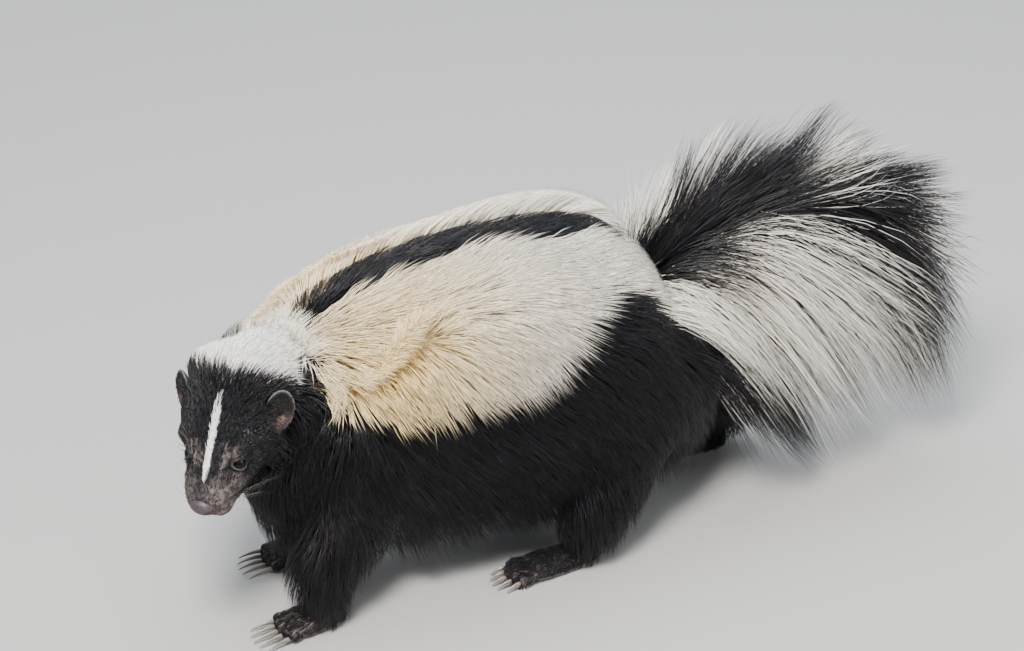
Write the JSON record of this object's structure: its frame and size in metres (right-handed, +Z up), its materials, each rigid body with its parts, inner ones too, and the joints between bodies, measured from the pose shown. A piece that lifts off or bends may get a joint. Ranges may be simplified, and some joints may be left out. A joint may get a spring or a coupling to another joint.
{
  "type": "striped skunk",
  "caption": "Life-size still model of a walking striped skunk, head lowered and turned to its left, black coat with white nape and back stripes and a long-haired plume of a tail.",
  "frame": {"origin": "centre of the bounding box in X and Y, on the floor under the paws", "axes": "+Z up, the head towards -X, the animal's left side towards -Y"},
  "size_m": [0.5534, 0.1536, 0.2428],
  "materials": {
    "black_coat": "long glossy black guard hair, brownish bare skin showing on the muzzle",
    "white_coat": "long soft white hair, cream at the roots",
    "bare_skin": "grey-pink naked sole and toe skin",
    "nose_skin": "moist pinkish-brown nose pad",
    "eye_gloss": "wet dark brown eye",
    "claw_horn": "pale grey-brown horn"
  },
  "bodies": {
    "root": {"trunk": "black_coat", "head": "black_coat", "lower_jaw": "black_coat", "ear_left": "black_coat", "ear_right": "black_coat", "neck": "white_coat", "tail": "white_coat", "leg_front_left": "black_coat", "leg_front_right": "black_coat", "leg_hind_left": "black_coat", "leg_hind_right": "black_coat", "paw_front_left": "bare_skin", "paw_front_right": "bare_skin", "paw_hind_left": "bare_skin", "paw_hind_right": "bare_skin", "nose": "nose_skin", "eye_left": "eye_gloss", "eye_right": "eye_gloss", "claw_front_left_1": "claw_horn", "claw_front_left_2": "claw_horn", "claw_front_left_3": "claw_horn", "claw_front_left_4": "claw_horn", "claw_front_left_5": "claw_horn", "claw_front_right_1": "claw_horn", "claw_front_right_2": "claw_horn", "claw_front_right_3": "claw_horn", "claw_front_right_4": "claw_horn", "claw_front_right_5": "claw_horn", "claw_hind_left_1": "claw_horn", "claw_hind_left_2": "claw_horn", "claw_hind_left_3": "claw_horn", "claw_hind_left_4": "claw_horn", "claw_hind_left_5": "claw_horn", "claw_hind_right_1": "claw_horn", "claw_hind_right_2": "claw_horn", "claw_hind_right_3": "claw_horn", "claw_hind_right_4": "claw_horn", "claw_hind_right_5": "claw_horn"}
  },
  "joints": []
}
